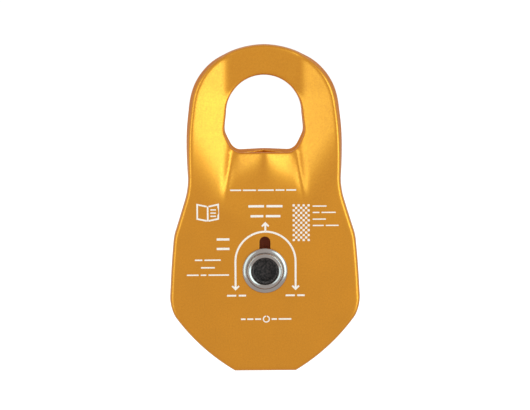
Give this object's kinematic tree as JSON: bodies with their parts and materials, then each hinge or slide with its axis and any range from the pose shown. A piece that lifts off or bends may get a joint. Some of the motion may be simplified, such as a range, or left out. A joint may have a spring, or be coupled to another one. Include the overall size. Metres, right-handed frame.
{
  "type": "swing-cheek rope pulley",
  "caption": "Compact rope pulley with swinging joggled cheek plates, a carabiner eye and a sheave on bushes for rescue and rope access.",
  "frame": {"origin": "centre of the sheave, on its axle and midway between the cheeks", "axes": "+Z towards the carabiner eye, Y along the axle with the front cheek at -Y, X across the cheeks"},
  "size_m": [0.0542, 0.0264, 0.0928],
  "materials": {
    "gold_anodised": "satin gold anodised",
    "sheave_aluminium": "turned, satin",
    "bush_bronze": "sintered, matt, oil-filled",
    "dark_steel": "ground",
    "bright_steel": "polished, rounded edges",
    "red_brown_polymer": "matt"
  },
  "bodies": {
    "rear_side": {"rear_cheek": "gold_anodised", "axle_sleeve": "dark_steel", "axle_rivet": "bright_steel", "front_axle_washer": "bright_steel", "rear_axle_washer": "bright_steel", "front_thrust_washer": "red_brown_polymer", "rear_thrust_washer": "red_brown_polymer"},
    "front_side": {"front_cheek": "gold_anodised"},
    "sheave_wheel": {"sheave": "sheave_aluminium", "front_bush": "bush_bronze", "rear_bush": "bush_bronze"}
  },
  "joints": [
    {"name": "front_cheek_swing", "type": "hinge", "parent": "rear_side", "child": "front_side", "pos_m": [0, 0, 0], "axis": [0, 1, 0], "continuous": true},
    {"name": "sheave_spin", "type": "hinge", "parent": "rear_side", "child": "sheave_wheel", "pos_m": [0, 0, 0], "axis": [0, 1, 0], "continuous": true}
  ]
}
